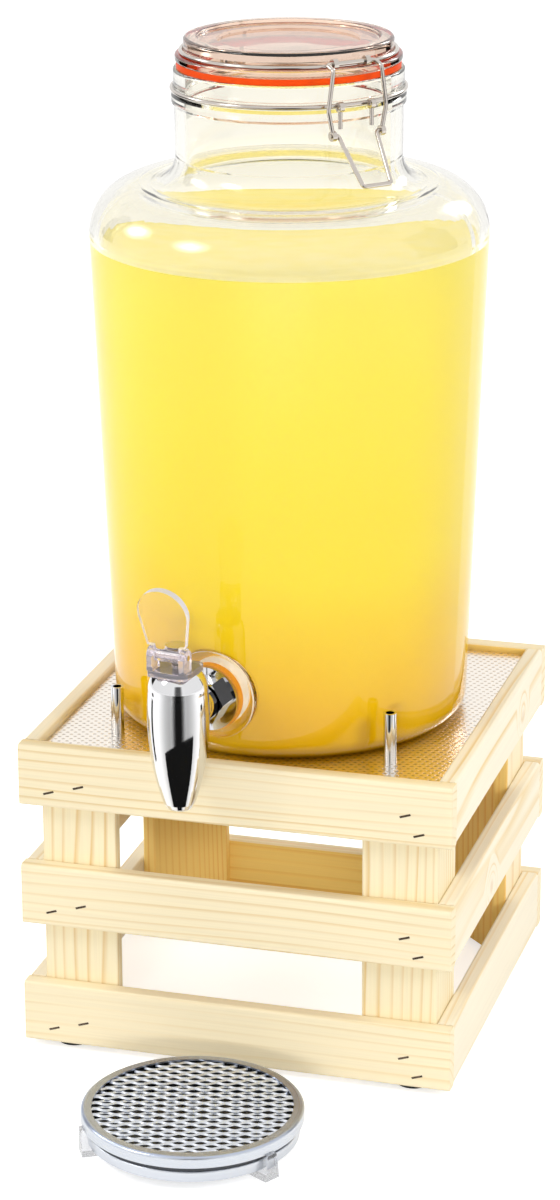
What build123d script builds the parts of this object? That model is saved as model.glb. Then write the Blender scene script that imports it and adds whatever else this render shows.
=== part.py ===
from build123d import *
from math import cos, radians, sin, sqrt
import os

# Glass drink dispenser: a tapered jar with a clip-top lid and a tap, standing on a slatted softwood
# crate, with a loose drip tray in front. Millimetres, +Z up. The origin is the centre of the crate's
# footprint on the table; -Y is the front, where the tap is.

# Crate: three rows of slats on four corner posts
crate_width = 255.0
crate_depth = 246.0
slat_height = 37.0
slat_thickness = 10.5
slat_gap = 37.0
slat_round = 2.0
row_names = ("bottom", "middle", "top")
post_leg = 44.0
post_tip = 8.0
post_round = 1.5

# Staples at the ends of the front and back slats: (distance from the slat's end, height on the slat)
staple_crown = 6.5
staple_leg = 18.0
staple_wire = 1.2
staple_slant = -18.0
staple_play = 0.05
left_staples = ((18.0, 9.0), (36.0, 14.0))
right_staples = ((19.0, 7.0), (27.0, 18.0))

# Rubber feet and their screws
foot_diameter = 20.0
foot_height = 4.0
foot_inset_x = 25.0
foot_inset_y = 16.5
foot_screw_diameter = 3.5
foot_screw_length = 16.0
foot_head_diameter = 7.5
foot_head_height = 1.6
foot_head_recess = 0.8
screw_play = 0.05

# Base board, embossed plate and locating pins
board_thickness = 9.0
board_play = 0.5
plate_thickness = 1.0
plate_drop = 4.0
pin_gap = 7.8
pin_diameter = 7.5
pin_bore = 5.0
pin_bore_depth = 17.0
pin_length = 29.0
pin_screw_diameter = 4.0
pin_screw_bite = 8.0
pin_head_diameter = 8.0
pin_head_height = 2.6

# Glass jar
jar_height = 378.5
jar_base_radius = 103.0
jar_shoulder_radius = 115.0
neck_height = 64.5
jar_wall = 6.0
jar_floor = 9.0
jar_foot_ring = 19.0
jar_kick_slope = 6.0
jar_kick_height = 2.5
heel_round = 10.0
shoulder_round = 29.0
neck_radius = 64.5
neck_round = 14.0
bead_drop = 21.0
bead_height = 7.5
bead_stand = 1.7
rim_height = 9.5
rim_stand = 0.6
rim_round = 1.5

# Clip-top lid and gasket
gasket_thickness = 3.5
gasket_inset = 1.3
gasket_width = 5.0
lid_flange_inset = 0.5
lid_flange_thickness = 4.5
lid_step_width = 4.8
lid_height = 13.7
lid_edge_round = 2.0
lid_edge_width = 7.7
lid_ring_depth = 1.8
lid_ledge_width = 11.0
lid_well_depth = 3.4
lid_lip_play = 1.0
lid_lip_depth = 3.0
lid_lip_wall = 7.5
lid_hollow_depth = 7.0
lid_seat_gap = 0.05

# Wire clip: band round the neck, wire round the lid, bail and lever
wire_diameter = 2.5
clip_turn = 48.0
wire_play = 0.05
wire_seat_gap = 0.1
eye_wall = 1.5
hinge_eye_place = 3.6
hinge_eye_length = 4.0
hinge_out = 2.55
hinge_up = 2.6
hinge_arm_place = 9.5
hinge_bend = 2.6
bail_bar_rise = 3.2
bail_bar_gap = 0.3
bail_eye_place = 10.5
bail_eye_length = 3.0
bail_half_width = 15.5
bail_bow = 3.2
bail_foot_half_width = 15.8
bail_clear = 3.2
bail_bow_drop = 24.0
bail_shoulder_drop = 2.0
bail_foot_drop = 38.0
bail_bend = 2.0
bail_bow_bend = 8.0
lever_eye_length = 2.6
lever_stub = 1.9
lever_side_gap = 3.4
lever_tip_half_width = 9.0
lever_reach_down = 25.2
lever_reach_out = 20.0
lever_bend = 2.0
band_eye_length = 3.0
band_eye_sink = 1.0
band_eye_place = 10.2
band_tail = 12.0

# Tap: its reach is from the crate's front face to the spout's axis, or further if its boss needs
# that to stand clear of the nut
tap_turn = -9.0
tap_height = 38.5
tap_reach = 23.4
pad_radius = 26.0
pad_stand = 1.25
pad_thickness = 9.0
pad_round = 1.0
shank_radius = 7.5
shank_bore = 5.0
shank_hole_play = 0.5
shank_tail = 16.0
thread_play = 0.03
outer_washer_radius = 19.4
outer_washer_thickness = 4.0
nut_flange_radius = 18.6
nut_flange_thickness = 3.0
nut_across_corners = 27.0
nut_thickness = 7.0
inner_washer_radius = 15.0
inner_washer_thickness = 3.0
lock_flange_radius = 19.5
lock_flange_thickness = 3.0
lock_across_corners = 28.0
lock_nut_thickness = 8.0
body_joint_rise = 17.0
body_joint_radius = 16.7
body_belly_radius = 17.2
body_belly_drop = 24.0
body_waist_radius = 9.0
body_waist_drop = 66.0
body_tip_radius = 6.5
body_tip_drop = 70.0
body_tip_round = 3.0
chamber_radius = 11.0
chamber_depth = 46.0
outlet_radius = 4.5
boss_radius = 11.0
boss_reach = 27.0
boss_nut_gap = 1.0
boss_wall = 1.0
bonnet_height = 11.5
bonnet_mid_radius = 15.7
bonnet_mid_height = 6.5
bonnet_top_radius = 12.7
spigot_depth = 3.4
spigot_play = 0.1
stem_radius = 3.0
stem_play = 0.06
stem_head_radius = 6.0
stem_head_thickness = 2.0
stem_head_gap = 0.3
cup_radius = 7.5
cup_height = 10.0
cup_hole_depth = 7.0
cup_seat_gap = 0.05
collar_half_width = 12.3
collar_back = 10.0
collar_front_margin = 0.6
collar_thickness = 3.5
collar_round = 4.0
collar_hole_play = 0.6
ear_inner = 8.0
ear_thickness = 3.6
ear_radius = 4.5
pivot_forward = 10.5
pivot_height = 24.0
paddle_gap = 0.4
hub_radius = 3.8
paddle_thickness = 4.0
paddle_neck = 6.6
paddle_foot_width = 23.0
paddle_round_radius = 15.0
paddle_round_height = 26.8
paddle_shoulder_drop = 3.0
paddle_shoulder_inset = 0.4
paddle_lean = 13.0
handle_pin_radius = 1.5
handle_pin_play = 0.05
handle_pin_overhang = 0.4
fork_inner = 4.2
fork_thickness = 2.0
fork_tip_radius = 1.5

# Drip tray
tray_x = 2.5
tray_stand_off = 25.5
tray_height = 22.0
tray_sheet = 1.0
tray_rim_radius = 62.0
tray_rim_skirt = 6.6
tray_rim_inner_radius = 56.0
tray_rim_round = 2.0
tray_dish_radius = 58.8
tray_dish_lift = 9.0
tray_dish_round = 3.0
grille_thickness = 1.2
grille_play = 0.4
grille_margin = 2.6
grille_pitch = 12.0
grille_row_step = 3.6
grille_strand = 1.45
grille_turn = 15.0
tray_foot_width = 10.0
tray_foot_top_width = 6.5
tray_foot_inner_radius = 50.0
tray_foot_stand = 1.5
tray_foot_play = 0.1
tray_foot_angles = {"back": 90.0, "left": 210.0, "right": 330.0}

# Heights that follow from the sizes above
row_pitch = slat_height + slat_gap
crate_floor = foot_height
crate_top = crate_floor + (len(row_names) - 1) * row_pitch + slat_height
plate_top = crate_top - plate_drop
board_top = plate_top - plate_thickness
board_bottom = board_top - board_thickness
jar_base = plate_top
rim_top = jar_base + jar_height
gasket_bottom = rim_top + lid_seat_gap
lid_bottom = gasket_bottom + gasket_thickness
lid_flange_top = lid_bottom + lid_flange_thickness
lid_top = lid_bottom + lid_height
tap_z = jar_base + tap_height
tap_joint_z = tap_z + body_joint_rise

# Radii and places that follow from the sizes above
wire_radius = wire_diameter / 2
mouth_radius = neck_radius - jar_wall
jar_shoulder_height = jar_height - neck_height
jar_kick_radius = jar_base_radius - jar_foot_ring - jar_kick_slope
bead_low = jar_height - bead_drop
bead_high = bead_low + bead_height
rim_low = jar_height - rim_height
jar_taper = (jar_shoulder_radius - jar_base_radius) / jar_shoulder_height
post_corner_x = crate_width / 2 - slat_thickness
post_corner_y = crate_depth / 2 - slat_thickness
pin_spread = (jar_base_radius + pin_gap + pin_diameter / 2) / sqrt(2)
gasket_radius = neck_radius - gasket_inset
lid_flange_radius = neck_radius - lid_flange_inset
lid_disc_radius = lid_flange_radius - lid_step_width
lid_ring_radius = lid_disc_radius - lid_edge_width
lid_well_radius = lid_ring_radius - lid_ledge_width
pad_face = jar_base_radius + jar_taper * tap_height + pad_stand
pad_inner_face = pad_face - pad_thickness
nut_face = pad_face + outer_washer_thickness
nut_end = nut_face + nut_flange_thickness + nut_thickness
axis_before_crate = (crate_depth / 2 + tap_reach) / cos(radians(tap_turn))
axis_before_nut = nut_end + boss_nut_gap + boss_reach
tap_axis = max(axis_before_crate, axis_before_nut)
lock_face = pad_inner_face - inner_washer_thickness
tray_y = -(crate_depth / 2 + tray_stand_off + tray_rim_radius)
corner_signs = {"front_left": (-1, -1), "front_right": (1, -1), "back_left": (-1, 1), "back_right": (1, 1)}

nodes = {}


def lathe(outline, rounds=()):
    """Turn a closed (radius, height) outline about the Z axis, with some of its corners rounded."""
    face = make_face(Polyline(*outline, close=True))
    for (radius, height), size in rounds:
        corner = face.vertices().sort_by_distance(Vector(radius, height, 0))[0]
        face = fillet(corner, size)
    return revolve(Plane.XZ * face, Axis.Z)


def upright(radius, low, high):
    """A cylinder about Z from one height to another."""
    return Pos(0, 0, (low + high) / 2) * Cylinder(radius, high - low)


def bar(x0, x1, y0, y1, z0, z1):
    """A block between two corners."""
    return Pos((x0 + x1) / 2, (y0 + y1) / 2, (z0 + z1) / 2) * Box(x1 - x0, y1 - y0, z1 - z0)


def cross_rod(radius, x0, x1, y, z):
    """A rod along X."""
    return Pos((x0 + x1) / 2, y, z) * Rot(0, 90, 0) * Cylinder(radius, x1 - x0)


def bent_wire(points, bends):
    """A round wire along straight runs joined by bends, one radius for each corner."""
    path = FilletPolyline(*points, radius=bends)
    section = Plane(origin=path @ 0, z_dir=path % 0) * Circle(wire_radius)
    return sweep(section, path)


# Staples: each is a U of square wire driven through a slat into the post behind it
def staple_places():
    """Place of each staple in the front face of the front slats: (x, height above the crate's floor)."""
    places = []
    for row in range(len(row_names)):
        for from_end, height in left_staples:
            places.append((from_end - crate_width / 2, row * row_pitch + height))
        for from_end, height in right_staples:
            places.append((crate_width / 2 - from_end, row * row_pitch + height))
    return places


def at_staple(shape, x, height, facing):
    """Set a shape made at the origin, driven along +Y, into the front (-1) or back (1) face."""
    turn = 0 if facing < 0 else 180
    seat = Pos(facing * -x, facing * crate_depth / 2, crate_floor + height)
    return seat * Rot(0, 0, turn) * Rot(0, staple_slant, 0) * shape


def staple_slot():
    width = staple_crown + 2 * staple_play
    height = staple_wire + 2 * staple_play
    return bar(-width / 2, width / 2, 0, staple_leg + staple_play, -height / 2, height / 2)


def staple():
    half = staple_crown / 2
    block = bar(-half, half, 0, staple_leg, -staple_wire / 2, staple_wire / 2)
    inside = half - staple_wire
    return block - bar(-inside, inside, staple_wire, staple_leg, -staple_wire, staple_wire)


staple_seats = [(x, height, facing) for x, height in staple_places() for facing in (-1, 1)]
slots = [at_staple(staple_slot(), *seat) for seat in staple_seats]
nodes["slat_staples"] = Compound([at_staple(staple(), *seat) for seat in staple_seats])


# Slats: the front and back slats run the full width, the side slats stand between them
def slat(length):
    board = Box(length, slat_thickness, slat_height)
    return fillet(board.edges().filter_by(Axis.X), slat_round)


for row, row_name in enumerate(row_names):
    slat_z = crate_floor + row * row_pitch + slat_height / 2
    face_y = crate_depth / 2 - slat_thickness / 2
    side_x = crate_width / 2 - slat_thickness / 2
    side_length = crate_depth - 2 * slat_thickness
    for side, sign in (("front", -1), ("back", 1)):
        long_slat = Pos(0, sign * face_y, slat_z) * slat(crate_width)
        nodes[f"slat_{side}_{row_name}"] = long_slat - slots
    for side, sign in (("left", -1), ("right", 1)):
        nodes[f"slat_{side}_{row_name}"] = Pos(sign * side_x, 0, slat_z) * Rot(0, 0, 90) * slat(side_length)


# Rubber feet and their screws, set under the posts
def foot_screw_hole(extra):
    return upright(foot_screw_diameter / 2 + screw_play, 0, foot_screw_length + extra)


foot_screws = []
foot_holes = []
for corner, (sx, sy) in corner_signs.items():
    place = Pos(sx * (crate_width / 2 - foot_inset_x), sy * (crate_depth / 2 - foot_inset_y), 0)
    head_seat = foot_head_recess + foot_head_height
    pad = upright(foot_diameter / 2, 0, foot_height)
    pad = pad - upright(foot_head_diameter / 2 + screw_play, 0, head_seat) - foot_screw_hole(0)
    screw = upright(foot_head_diameter / 2, foot_head_recess, head_seat)
    screw = screw + upright(foot_screw_diameter / 2, foot_head_recess, foot_screw_length)
    nodes[f"rubber_foot_{corner}"] = place * pad
    foot_screws.append(place * screw)
    foot_holes.append(place * foot_screw_hole(screw_play))
nodes["foot_screws"] = Compound(foot_screws)

# Room for the heads of the screws that hold the locating pins from below
pin_places = [Pos(sx * pin_spread, sy * pin_spread, 0) for sx, sy in corner_signs.values()]
pin_head_low = board_bottom - pin_head_height
pin_head_way = upright(pin_head_diameter / 2 + screw_play, pin_head_low - screw_play, board_bottom)
pin_head_ways = [place * pin_head_way for place in pin_places]

# Corner posts: three-cornered strips whose right angle fits the corner of the slats
for corner, (sx, sy) in corner_signs.items():
    section = Polyline(
        (0, 0),
        (-sx * post_leg, 0),
        (-sx * post_leg, -sy * post_tip),
        (-sx * post_tip, -sy * post_leg),
        (0, -sy * post_leg),
        close=True,
    )
    strip = extrude(make_face(section), board_bottom - crate_floor, dir=(0, 0, 1))
    strip = fillet(strip.edges().filter_by(Axis.Z).sort_by_distance((0, 0, 0))[1:], post_round)
    post = Pos(sx * post_corner_x, sy * post_corner_y, crate_floor) * strip
    nodes[f"corner_post_{corner}"] = post - slots - foot_holes - pin_head_ways

# Base board, embossed plate, locating pins and the screws that hold the pins from below
pin_hole_radius = pin_screw_diameter / 2 + screw_play
pin_holes = [place * upright(pin_hole_radius, board_bottom, plate_top) for place in pin_places]
bed_x = post_corner_x - board_play
bed_y = post_corner_y - board_play
nodes["base_board"] = bar(-bed_x, bed_x, -bed_y, bed_y, board_bottom, board_top) - pin_holes
nodes["top_plate"] = bar(-bed_x, bed_x, -bed_y, bed_y, board_top, plate_top) - pin_holes

pin_screws = []
for (corner, signs), place in zip(corner_signs.items(), pin_places):
    pin_top = plate_top + pin_length
    pin = upright(pin_diameter / 2, plate_top, pin_top)
    pin = pin - upright(pin_bore / 2, pin_top - pin_bore_depth, pin_top)
    pin = pin - upright(pin_hole_radius, plate_top, plate_top + pin_screw_bite + screw_play)
    nodes[f"locating_pin_{corner}"] = place * pin
    screw = upright(pin_head_diameter / 2, pin_head_low, board_bottom)
    screw = screw + upright(pin_screw_diameter / 2, pin_head_low, plate_top + pin_screw_bite)
    pin_screws.append(place * screw)
nodes["pin_screws"] = Compound(pin_screws)


# Tap placing: pieces are made with the spout pointing to -Y and then turned about the jar's axis
def at_tap(shape):
    return Rot(0, 0, tap_turn) * shape


def barrel(radius, near, far):
    """A cylinder along the shank, between two distances from the jar's axis."""
    return Pos(0, -(near + far) / 2, tap_z) * Rot(90, 0, 0) * Cylinder(radius, far - near)


def hexagon(across_corners, near, far):
    """A hexagonal prism along the shank."""
    prism = extrude(RegularPolygon(across_corners / 2, 6), far - near)
    return Pos(0, -near, tap_z) * Rot(90, 0, 0) * prism


# Jar: blown glass with a flat pad, inside and out, round the tap hole
inner_shoulder_height = jar_shoulder_height - jar_wall
inner_shoulder_radius = jar_base_radius + jar_taper * inner_shoulder_height - jar_wall
inner_base_radius = jar_base_radius + jar_taper * jar_floor - jar_wall
bead_radius = neck_radius + bead_stand
rim_radius = neck_radius + rim_stand
jar_outline = (
    (0, jar_kick_height),
    (jar_kick_radius, jar_kick_height),
    (jar_kick_radius + jar_kick_slope, 0),
    (jar_base_radius, 0),
    (jar_shoulder_radius, jar_shoulder_height),
    (neck_radius, jar_shoulder_height),
    (neck_radius, bead_low),
    (bead_radius, bead_low + bead_stand),
    (bead_radius, bead_high - bead_stand),
    (neck_radius, bead_high),
    (neck_radius, rim_low),
    (rim_radius, rim_low + rim_stand),
    (rim_radius, jar_height),
    (mouth_radius, jar_height),
    (mouth_radius, inner_shoulder_height),
    (inner_shoulder_radius, inner_shoulder_height),
    (inner_base_radius, jar_floor),
    (0, jar_floor),
)
jar_rounds = (
    ((jar_base_radius, 0), heel_round),
    ((jar_shoulder_radius, jar_shoulder_height), shoulder_round),
    ((neck_radius, jar_shoulder_height), neck_round),
    ((rim_radius, jar_height), rim_round),
    ((mouth_radius, jar_height), rim_round),
    ((mouth_radius, inner_shoulder_height), neck_round + jar_wall),
    ((inner_shoulder_radius, inner_shoulder_height), shoulder_round - jar_wall),
    ((inner_base_radius, jar_floor), heel_round),
)
tap_pad = barrel(pad_radius, pad_inner_face, pad_face)
tap_pad = fillet(tap_pad.edges().sort_by(Axis.Y)[0], pad_round)
tap_hole = barrel(shank_radius + shank_hole_play, pad_inner_face - jar_wall, pad_face + jar_wall)
jar_shell = Pos(0, 0, jar_base) * lathe(jar_outline, jar_rounds)
nodes["glass_jar"] = at_tap(jar_shell + tap_pad - tap_hole)

# Lid: pressed glass with a flange, a raised disc with stepped rings, and a lip inside the mouth
lip_radius = mouth_radius - lid_lip_play
lid_hollow_radius = lip_radius - lid_lip_wall
lid_outline = (
    (0, lid_hollow_depth),
    (lid_hollow_radius, lid_hollow_depth),
    (lid_hollow_radius, -lid_lip_depth),
    (lip_radius, -lid_lip_depth),
    (lip_radius, 0),
    (lid_flange_radius, 0),
    (lid_flange_radius, lid_flange_thickness),
    (lid_disc_radius, lid_flange_thickness),
    (lid_disc_radius, lid_height),
    (lid_ring_radius, lid_height),
    (lid_ring_radius, lid_height - lid_ring_depth),
    (lid_well_radius, lid_height - lid_ring_depth),
    (lid_well_radius, lid_height - lid_well_depth),
    (0, lid_height - lid_well_depth),
)
lid_rounds = (
    ((lid_flange_radius, 0), rim_round),
    ((lid_flange_radius, lid_flange_thickness), rim_round),
    ((lid_disc_radius, lid_height), lid_edge_round),
    ((lid_ring_radius, lid_height), lid_ring_depth / 2),
    ((lid_ring_radius, lid_height - lid_ring_depth), lid_ring_depth / 2),
)
nodes["glass_lid"] = Pos(0, 0, lid_bottom) * lathe(lid_outline, lid_rounds)

gasket_ring = upright(gasket_radius, gasket_bottom, lid_bottom)
gasket_hole = upright(gasket_radius - gasket_width, gasket_bottom, lid_bottom)
nodes["lid_gasket"] = gasket_ring - gasket_hole


# Wire clip, made with its lever towards -Y and its hinge towards +Y, then turned about the jar's axis
def at_clip(shape):
    return Rot(0, 0, clip_turn) * shape


def eye(x, length, y, z):
    """A wire eye that a straight run of wire along X turns in: (rod, bore)."""
    rod = cross_rod(wire_radius + wire_play + eye_wall, x - length / 2, x + length / 2, y, z)
    bore = cross_rod(wire_radius + wire_play, x - length, x + length, y, z)
    return rod, bore


# Neck band: a ring in the groove over the bead, hinge eyes behind, eyelets with hanging tails in front
band_radius = neck_radius + wire_seat_gap + wire_radius
band_z = jar_base + (bead_high + rim_low) / 2
hinge_y = band_radius + hinge_out
hinge_z = band_z + hinge_up
neck_band = Pos(0, 0, band_z) * Torus(band_radius, wire_radius)
eyelet_y = -(band_radius + wire_radius + eye_wall + wire_radius - band_eye_sink)
band_bores = []
for sign in (-1, 1):
    rod, bore = eye(sign * hinge_eye_place, hinge_eye_length, hinge_y, hinge_z)
    neck_band = neck_band + rod
    band_bores.append(bore)
    rod, bore = eye(sign * band_eye_place, band_eye_length, eyelet_y, band_z)
    tail = upright(wire_radius, band_z - band_tail, band_z)
    neck_band = neck_band + rod + Pos(sign * band_eye_place, eyelet_y, 0) * tail
    band_bores.append(bore)
nodes["neck_band"] = at_clip(neck_band - band_bores)

# Lid wire: a ring round the foot of the disc, the hinge loop behind, eyes for the bail in front
lid_wire_radius = lid_disc_radius + wire_seat_gap + wire_radius
lid_wire_z = lid_flange_top + wire_seat_gap + wire_radius
bail_y = -(lid_wire_radius + wire_radius + bail_bar_gap + wire_radius)
bail_z = lid_flange_top + bail_bar_rise
arm_start = sqrt(lid_wire_radius**2 - hinge_arm_place**2)
lid_wire = Pos(0, 0, lid_wire_z) * Torus(lid_wire_radius, wire_radius)
hinge_loop = (
    (-hinge_arm_place, arm_start, lid_wire_z),
    (-hinge_arm_place, hinge_y, lid_wire_z),
    (-hinge_arm_place, hinge_y, hinge_z),
    (hinge_arm_place, hinge_y, hinge_z),
    (hinge_arm_place, hinge_y, lid_wire_z),
    (hinge_arm_place, arm_start, lid_wire_z),
)
lid_wire = lid_wire + bent_wire(hinge_loop, hinge_bend)
bail_bores = []
for sign in (-1, 1):
    rod, bore = eye(sign * bail_eye_place, bail_eye_length, bail_y, bail_z)
    lid_wire = lid_wire + rod
    bail_bores.append(bore)
nodes["lid_wire"] = at_clip(lid_wire - bail_bores)

# Bail: a bar across the lid and two bowed legs that end in eyes for the lever
leg_y = -(band_radius + wire_radius + bail_clear)
foot_z = bail_z - bail_foot_drop
bow = bail_half_width + bail_bow
bail_half = (
    (bail_half_width, bail_y, bail_z),
    (bail_half_width, leg_y, bail_z - bail_shoulder_drop),
    (bow, leg_y, bail_z - bail_bow_drop),
    (bail_foot_half_width, leg_y, foot_z),
)
bail_points = [(-x, y, z) for x, y, z in reversed(bail_half)] + list(bail_half)
bail_bends = (bail_bow_bend, bail_bend, bail_bend, bail_bend, bail_bend, bail_bow_bend)
bail = bent_wire(bail_points, bail_bends)
lever_bores = []
for sign in (-1, 1):
    rod, bore = eye(sign * bail_foot_half_width, lever_eye_length, leg_y, foot_z)
    bail = bail + rod
    lever_bores.append(bore)
nodes["clip_bail"] = at_clip(bail - lever_bores)

# Lever: a wire loop hung in the eyes of the bail
lever_half = (
    (bail_foot_half_width + lever_stub, leg_y, foot_z),
    (bail_foot_half_width - lever_side_gap, leg_y, foot_z),
    (lever_tip_half_width, leg_y - lever_reach_out, foot_z - lever_reach_down),
)
lever_points = list(lever_half) + [(-x, y, z) for x, y, z in reversed(lever_half)]
nodes["clip_lever"] = at_clip(bent_wire(lever_points, lever_bend))


# Tap: washers, nuts and shank through the pad
def bored(solid, radius, near, far):
    return solid - barrel(radius, near, far)


shank_end = tap_axis - chamber_radius - boss_wall
shank_tail_end = lock_face - shank_tail
tube = barrel(shank_radius, shank_tail_end, shank_end)
nodes["tap_shank"] = at_tap(bored(tube, shank_bore, shank_tail_end, shank_end))

thread_radius = shank_radius + thread_play
outer_washer = barrel(outer_washer_radius, pad_face, nut_face)
nodes["outer_washer"] = at_tap(bored(outer_washer, thread_radius, pad_face, nut_face))

shank_nut = barrel(nut_flange_radius, nut_face, nut_face + nut_flange_thickness)
shank_nut = shank_nut + hexagon(nut_across_corners, nut_face, nut_end)
nodes["shank_nut"] = at_tap(bored(shank_nut, thread_radius, nut_face, nut_end))

inner_washer = barrel(inner_washer_radius, lock_face, pad_inner_face)
nodes["inner_washer"] = at_tap(bored(inner_washer, thread_radius, lock_face, pad_inner_face))

lock_end = lock_face - lock_flange_thickness - lock_nut_thickness
lock_nut = barrel(lock_flange_radius, lock_face - lock_flange_thickness, lock_face)
lock_nut = lock_nut + hexagon(lock_across_corners, lock_end, lock_face)
nodes["lock_nut"] = at_tap(bored(lock_nut, thread_radius, lock_end, lock_face))


# Tap body: a hollow pear-shaped casting with the shank's boss behind and the outlet below
def on_spout(shape):
    """Set a shape made about its own upright axis, from the cap's joint line, onto the tap."""
    return at_tap(Pos(0, -tap_axis, tap_joint_z) * shape)


body_side = ThreePointArc(
    (body_joint_radius, 0),
    (body_belly_radius, -body_belly_drop),
    (body_waist_radius, -body_waist_drop),
)
body_rest = Polyline(
    (body_waist_radius, -body_waist_drop),
    (body_tip_radius, -body_tip_drop),
    (0, -body_tip_drop),
    (0, 0),
    (body_joint_radius, 0),
)
body_face = make_face([body_side, *body_rest.edges()])
tip_corner = body_face.vertices().sort_by_distance(Vector(body_tip_radius, -body_tip_drop, 0))[0]
body_pear = revolve(Plane.XZ * fillet(tip_corner, body_tip_round), Axis.Z)
body_boss = barrel(boss_radius, tap_axis - boss_reach, tap_axis - chamber_radius)
tap_body = at_tap(body_boss) - on_spout(upright(body_joint_radius + spigot_play, 0, bonnet_height))
tap_body = tap_body + on_spout(body_pear)
tap_body = tap_body - on_spout(upright(chamber_radius, -chamber_depth, 0))
tap_body = tap_body - on_spout(upright(outlet_radius, -body_tip_drop, -chamber_depth))
tap_body = tap_body - at_tap(barrel(thread_radius, tap_axis - boss_reach, shank_end))
nodes["tap_body"] = tap_body - at_tap(barrel(shank_bore, shank_end, tap_axis))

# Bonnet: the cap screwed into the top of the body
bonnet_side = ThreePointArc(
    (body_joint_radius, 0),
    (bonnet_mid_radius, bonnet_mid_height),
    (bonnet_top_radius, bonnet_height),
)
bonnet_rest = Polyline(
    (bonnet_top_radius, bonnet_height),
    (0, bonnet_height),
    (0, 0),
    (body_joint_radius, 0),
)
bonnet = revolve(Plane.XZ * make_face([bonnet_side, *bonnet_rest.edges()]), Axis.Z)
bonnet = bonnet + upright(chamber_radius - spigot_play, -spigot_depth, 0)
stem_bore = stem_radius + stem_play
nodes["tap_bonnet"] = on_spout(bonnet - upright(stem_bore, -spigot_depth, bonnet_height))

# Collar: a clear moulded plate on the bonnet with two ears for the handle's pin
collar_top = bonnet_height + collar_thickness
collar_front = pivot_forward + ear_radius + collar_front_margin
ear_outer = ear_inner + ear_thickness
collar = bar(-collar_half_width, collar_half_width, -collar_front, collar_back, bonnet_height, collar_top)
collar = fillet(collar.edges().filter_by(Axis.Z), collar_round)
for sign in (-1, 1):
    low_x, high_x = sorted((sign * ear_inner, sign * ear_outer))
    ear = bar(low_x, high_x, -pivot_forward - ear_radius, -pivot_forward + ear_radius, collar_top, pivot_height)
    collar = collar + ear + cross_rod(ear_radius, low_x, high_x, -pivot_forward, pivot_height)
pin_way = handle_pin_radius + handle_pin_play
collar = collar - cross_rod(pin_way, -collar_half_width, collar_half_width, -pivot_forward, pivot_height)
nodes["tap_collar"] = on_spout(collar - upright(stem_radius + collar_hole_play, bonnet_height, collar_top))


# Handle: a clear paddle on a hub between the ears, with a fork behind that lifts the stem
def on_pivot(shape):
    return on_spout(Pos(0, -pivot_forward, pivot_height) * shape)


hub_half = ear_inner - paddle_gap
blade_shoulder_z = paddle_round_height - paddle_shoulder_drop
blade_shoulder_x = paddle_round_radius - paddle_shoulder_inset
blade = make_face(Polyline(
    (-paddle_foot_width / 2, paddle_neck),
    (paddle_foot_width / 2, paddle_neck),
    (blade_shoulder_x, blade_shoulder_z),
    (-blade_shoulder_x, blade_shoulder_z),
    close=True,
))
blade = blade + Pos(0, paddle_round_height) * Circle(paddle_round_radius)
blade = extrude(Plane.XZ * blade, paddle_thickness / 2, both=True)
half_thick = paddle_thickness / 2
stalk = bar(-hub_half, hub_half, -half_thick, half_thick, 0, paddle_neck)
paddle = Rot(paddle_lean, 0, 0) * (blade + stalk) + cross_rod(hub_radius, -hub_half, hub_half, 0, 0)
for sign in (-1, 1):
    low_x, high_x = sorted((sign * fork_inner, sign * (fork_inner + fork_thickness)))
    paddle = paddle + bar(low_x, high_x, 0, pivot_forward, -fork_tip_radius, fork_tip_radius)
    paddle = paddle + cross_rod(fork_tip_radius, low_x, high_x, pivot_forward, 0)
paddle = paddle - cross_rod(handle_pin_radius + thread_play, -hub_half, hub_half, 0, 0)
nodes["handle_paddle"] = on_pivot(paddle)
pin_half = ear_outer + handle_pin_overhang
nodes["handle_pin"] = on_pivot(cross_rod(handle_pin_radius, -pin_half, pin_half, 0, 0))

# Stem and seat cup: the stem's head rests over the fork, the cup closes the outlet from inside
stem_low = cup_seat_gap + cup_height - cup_hole_depth - chamber_depth
stem_head_low = pivot_height + fork_tip_radius + stem_head_gap
stem = upright(stem_radius, stem_low, stem_head_low)
stem = stem + upright(stem_head_radius, stem_head_low, stem_head_low + stem_head_thickness)
nodes["tap_stem"] = on_spout(stem)
cup_low = cup_seat_gap - chamber_depth
cup = upright(cup_radius, cup_low, cup_low + cup_height)
nodes["seat_cup"] = on_spout(cup - upright(stem_radius + thread_play, stem_low, cup_low + cup_height))


# Drip tray, standing by itself in front of the crate
def at_tray(shape):
    return Pos(tray_x, tray_y, 0) * shape


flange_low = tray_height - tray_sheet
dish_inner_radius = tray_dish_radius - tray_sheet
dish_outline = (
    (0, tray_dish_lift),
    (tray_dish_radius, tray_dish_lift),
    (tray_dish_radius, flange_low),
    (dish_inner_radius, flange_low),
    (dish_inner_radius, tray_dish_lift + tray_sheet),
    (0, tray_dish_lift + tray_sheet),
)
dish_rounds = (
    ((tray_dish_radius, tray_dish_lift), tray_dish_round),
    ((dish_inner_radius, tray_dish_lift + tray_sheet), tray_dish_round - tray_sheet),
)
nodes["tray_dish"] = at_tray(lathe(dish_outline, dish_rounds))

skirt_low = tray_height - tray_rim_skirt
skirt_inner_radius = tray_rim_radius - tray_sheet
rim_outline = (
    (tray_rim_inner_radius, flange_low),
    (skirt_inner_radius, flange_low),
    (skirt_inner_radius, skirt_low),
    (tray_rim_radius, skirt_low),
    (tray_rim_radius, tray_height),
    (tray_rim_inner_radius, tray_height),
)
rim_rounds = (
    ((tray_rim_radius, tray_height), tray_rim_round),
    ((skirt_inner_radius, flange_low), tray_rim_round - tray_sheet),
)
nodes["tray_rim"] = at_tray(lathe(rim_outline, rim_rounds))

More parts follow.
